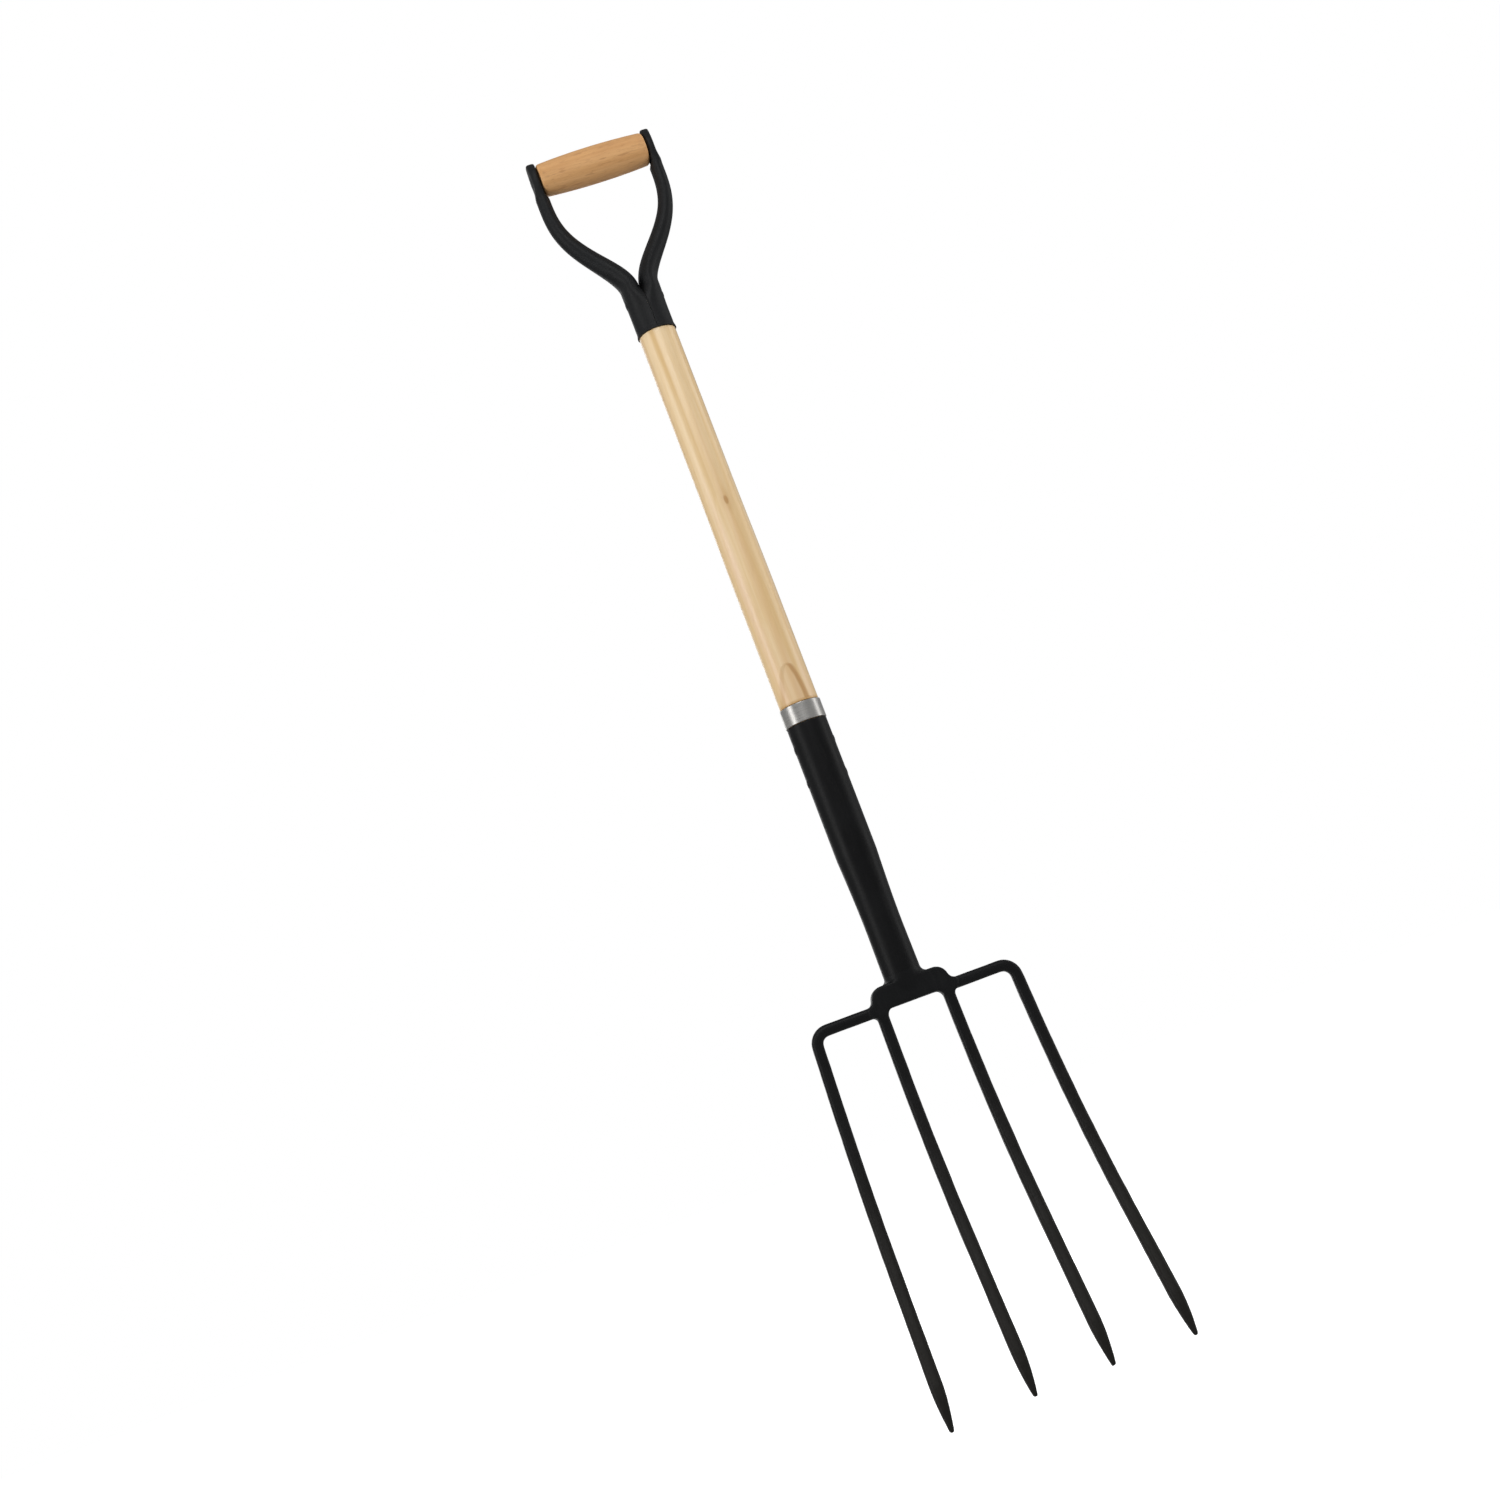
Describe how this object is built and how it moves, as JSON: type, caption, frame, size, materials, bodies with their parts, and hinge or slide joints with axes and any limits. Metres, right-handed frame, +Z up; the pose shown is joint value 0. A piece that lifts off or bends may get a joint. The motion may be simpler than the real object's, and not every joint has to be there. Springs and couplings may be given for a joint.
{
  "type": "digging fork",
  "caption": "Digging fork with a wooden grip bar in a steel D yoke, a straight wooden shaft, a steel socket and a forged head with long curved tines.",
  "frame": {"origin": "middle of the grip bar, on its axis, where a hand or a peg holds the fork", "axes": "+Z up along the shaft towards the grip; +X along the grip bar and across the tines; -Y is the front, to which the tines curve"},
  "size_m": [0.1988, 0.0882, 1.0444],
  "materials": {
    "grip_wood": "oiled hardwood, open grain along the bar",
    "shaft_wood": "pale wood under clear satin varnish",
    "black_steel": "satin black paint",
    "band_steel": "bare steel, brushed round the ring"
  },
  "bodies": {
    "root": {"hand_grip": "grip_wood", "grip_rod": "black_steel", "yoke_left": "black_steel", "yoke_right": "black_steel", "yoke_rivet": "black_steel", "shaft": "shaft_wood", "band": "band_steel", "socket": "black_steel", "socket_rivet_upper": "black_steel", "socket_rivet_lower": "black_steel", "head": "black_steel"}
  },
  "joints": []
}
